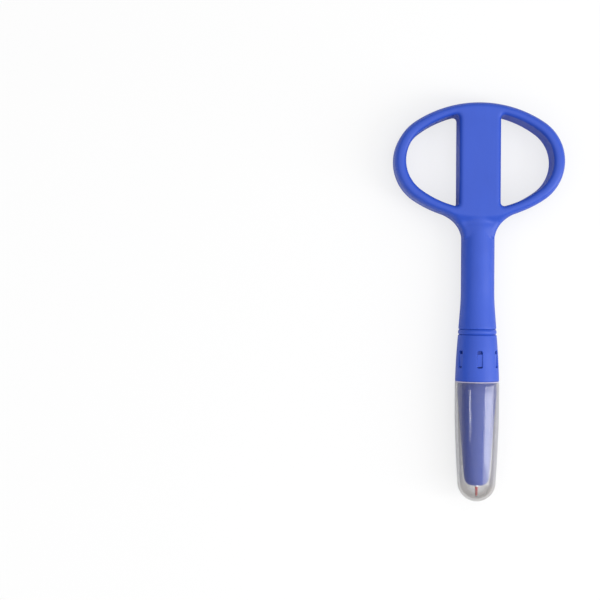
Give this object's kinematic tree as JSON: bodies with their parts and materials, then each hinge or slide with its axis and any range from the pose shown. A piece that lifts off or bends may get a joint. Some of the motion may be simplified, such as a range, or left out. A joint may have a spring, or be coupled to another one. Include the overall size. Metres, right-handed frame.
{
  "type": "periodontal probe",
  "caption": "Straight dental probe with a two-loop bow handle, slotted collar, tapered nose with a short sprung ball-ended tip, and a milky pull-off cap.",
  "frame": {"origin": "centre of the bow's flat back face", "axes": "+Z out of the bow's front face, +Y along the tool from the tip towards the bow, +X across the bow"},
  "size_m": [0.0678, 0.159, 0.0176],
  "materials": {
    "handle_plastic": "dark blue moulded plastic, satin gloss",
    "cap_plastic": "milky translucent polypropylene",
    "bush_brass": "turned brass",
    "screw_brass": "turned brass",
    "spring_steel": "bright spring wire",
    "holder_steel": "turned stainless steel",
    "tip_steel": "polished stainless wire",
    "band_red": "red baked enamel"
  },
  "bodies": {
    "handle": {"bow_handle": "handle_plastic", "joint_bead": "handle_plastic", "collar": "handle_plastic", "nose": "handle_plastic", "front_bush": "bush_brass", "spring_washer": "spring_steel", "preload_screw": "screw_brass", "force_spring": "spring_steel"},
    "tip": {"tip_holder": "holder_steel", "probe_tip": "tip_steel", "depth_band_1": "band_red", "depth_band_2": "band_red"},
    "cap": {"cap": "cap_plastic"}
  },
  "joints": [
    {"name": "cap_pull", "type": "slide", "parent": "handle", "child": "cap", "axis": [0, -1, 0], "range_m": [0, 0.06]},
    {"name": "tip_give", "type": "slide", "parent": "handle", "child": "tip", "axis": [0, 1, 0], "range_m": [0, 0.002], "stiffness_N_per_m": 60, "springref_m": -0.003, "deforming": ["force_spring"]}
  ]
}
